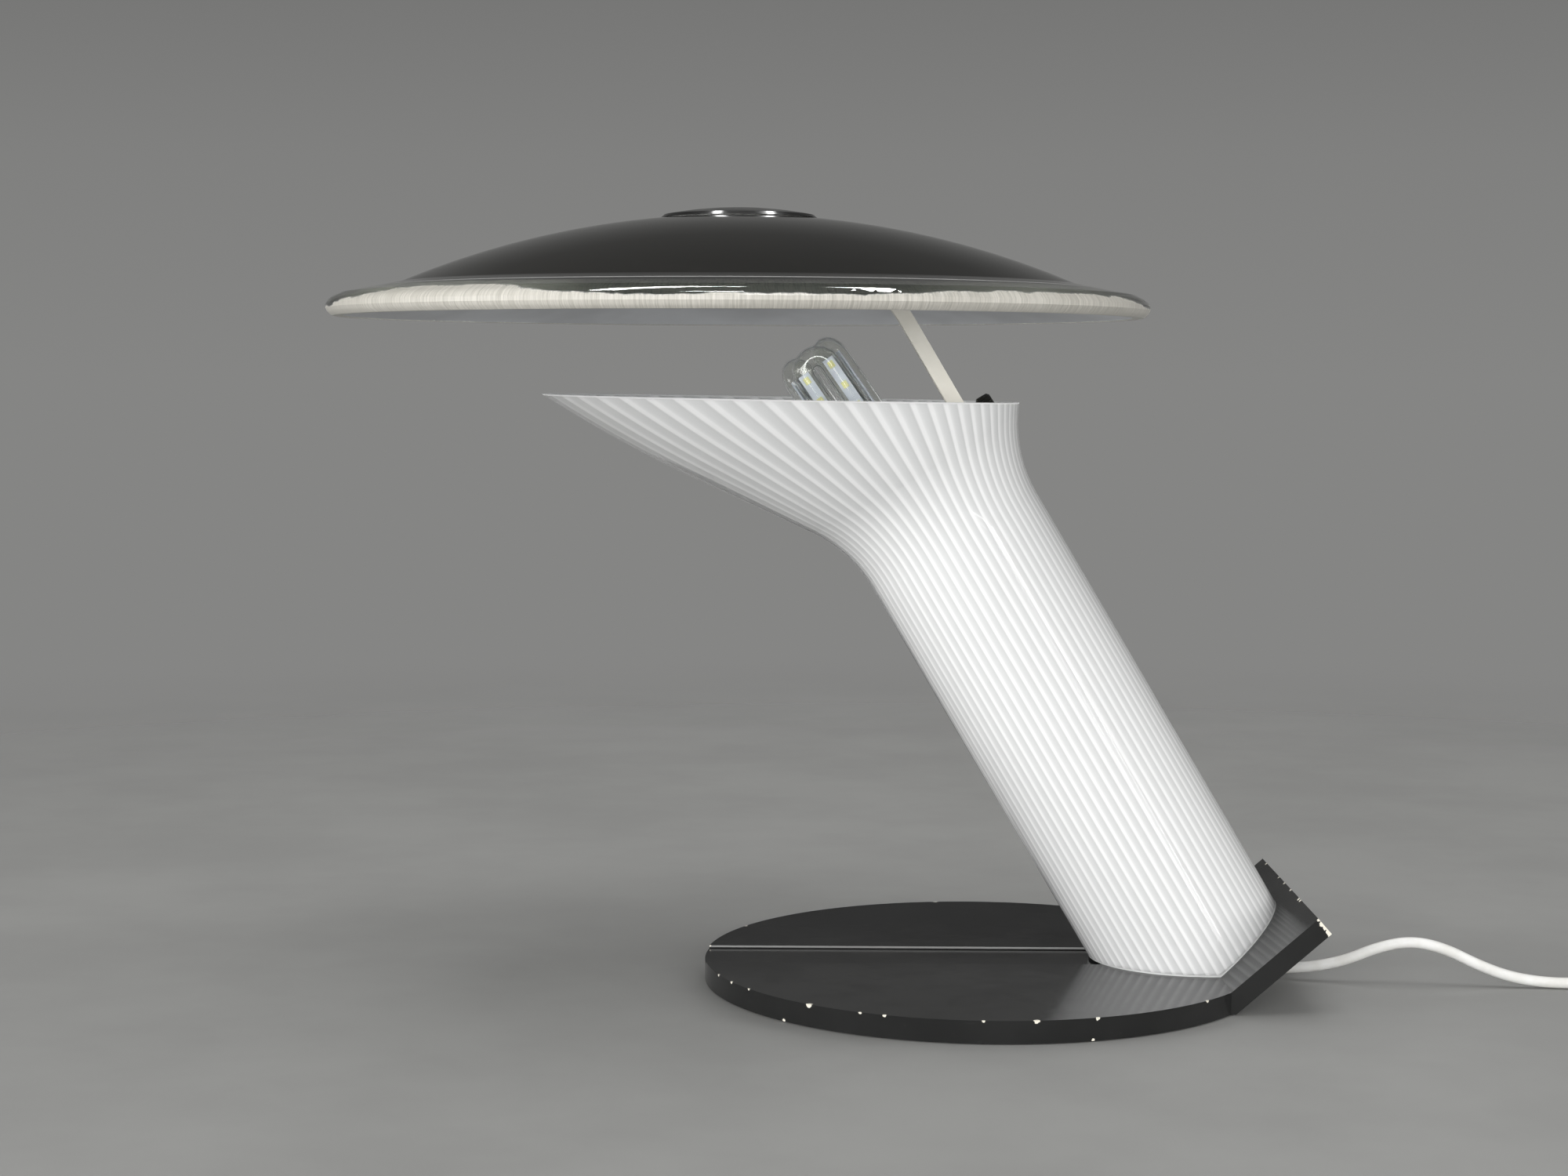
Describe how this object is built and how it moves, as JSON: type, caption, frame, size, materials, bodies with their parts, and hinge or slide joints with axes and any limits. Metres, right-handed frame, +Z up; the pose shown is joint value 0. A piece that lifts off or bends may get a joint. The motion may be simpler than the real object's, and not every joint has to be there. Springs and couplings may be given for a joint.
{
  "type": "table lamp",
  "caption": "Table lamp with a leaning striped glass column flaring to an open mouth on a folded black plate, under a wide domed glass shade on a bent adjustable bar.",
  "frame": {"origin": "on the table, under the middle of the base's round plate", "axes": "+Z up, +X towards the fold and the raised flange, -Y the front as pictured"},
  "size_m": [0.7414, 0.4036, 0.3807],
  "materials": {
    "black_lacquer": "gloss, chipped to bare metal along the edges",
    "black_felt": "matt",
    "plated_steel": "satin zinc plate",
    "clear_silicone": "clear satin",
    "striped_glass": "gloss over white stripes",
    "black_plastic": "satin",
    "ceramic_white": "glazed",
    "brass": "satin",
    "nickel": "satin",
    "white_plastic": "satin",
    "clear_glass": "clear gloss",
    "strip_board": "satin",
    "chip_yellow": "satin",
    "cream_paint": "satin",
    "knob_black": "satin",
    "black_glass": "gloss, clear towards the rim",
    "black_rubber": "matt",
    "pale_ring": "fine grain",
    "cap_black": "gloss",
    "rocker_white": "satin",
    "white_cord": "smooth"
  },
  "bodies": {
    "stand": {"base_disc": "black_lacquer", "base_flange": "black_lacquer", "base_felt": "black_felt", "foot_bracket": "plated_steel", "bracket_screws": "plated_steel", "foot_gasket": "clear_silicone", "glass_column": "striped_glass", "stem_tube": "plated_steel", "stem_nut": "plated_steel", "holder_cap": "black_plastic", "holder_insert": "ceramic_white", "holder_sleeve": "brass", "holder_contact": "brass", "holder_skirt": "black_plastic", "support_bar": "cream_paint", "bar_screws": "plated_steel", "arm_guide": "cream_paint", "clamp_nut": "plated_steel", "cord_bush": "white_plastic", "cord_clamp": "plated_steel", "clamp_screws": "plated_steel", "switch_base": "white_plastic", "switch_cover": "white_plastic", "switch_contacts": "brass", "plug_body": "white_plastic", "plug_pins": "nickel", "inner_lead": "white_cord", "mains_cord": "white_cord", "cord_link": "white_cord", "cord_coil": "white_cord", "cord_tail": "white_cord"},
    "arm": {"shade_arm": "cream_paint", "spindle": "plated_steel", "spindle_nut": "plated_steel", "shade_seat": "cream_paint"},
    "shade": {"shade_glass": "black_glass", "seat_gasket": "black_rubber", "centre_bush": "white_plastic", "cap_ring": "pale_ring"},
    "cap": {"shade_cap": "cap_black"},
    "screw": {"thumbscrew": "knob_black"},
    "bulb": {"bulb_cap": "nickel", "bulb_housing": "white_plastic", "bulb_tubes": "clear_glass", "led_strips": "strip_board", "led_chips": "chip_yellow"},
    "rocker": {"switch_rocker": "rocker_white"}
  },
  "joints": [
    {"name": "arm_slide", "type": "slide", "parent": "stand", "child": "arm", "axis": [-0.5105, 0, 0.8599], "range_m": [-0.02, 0.025]},
    {"name": "shade_turn", "type": "hinge", "parent": "arm", "child": "shade", "pos_m": [-0.1215, 0, 0.364], "axis": [0, 0, 1], "continuous": true},
    {"name": "cap_turn", "type": "hinge", "parent": "arm", "child": "cap", "pos_m": [-0.1215, 0, 0.378], "axis": [0, 0, 1], "range_deg": [0, 360]},
    {"name": "thumbscrew_turn", "type": "hinge", "parent": "stand", "child": "screw", "pos_m": [0.00032, 0, 0.28456], "axis": [0.8599, 0, 0.5105], "range_deg": [0, 360]},
    {"name": "bulb_turn", "type": "hinge", "parent": "stand", "child": "bulb", "pos_m": [0.01786, 0, 0.15727], "axis": [-0.5721, 0, 0.8202], "range_deg": [0, 360]},
    {"name": "rocker_tip", "type": "hinge", "parent": "stand", "child": "rocker", "pos_m": [0.348, -0.024, 0.0135], "axis": [-0.0872, -0.9962, 0], "range_deg": [0, 14]}
  ]
}
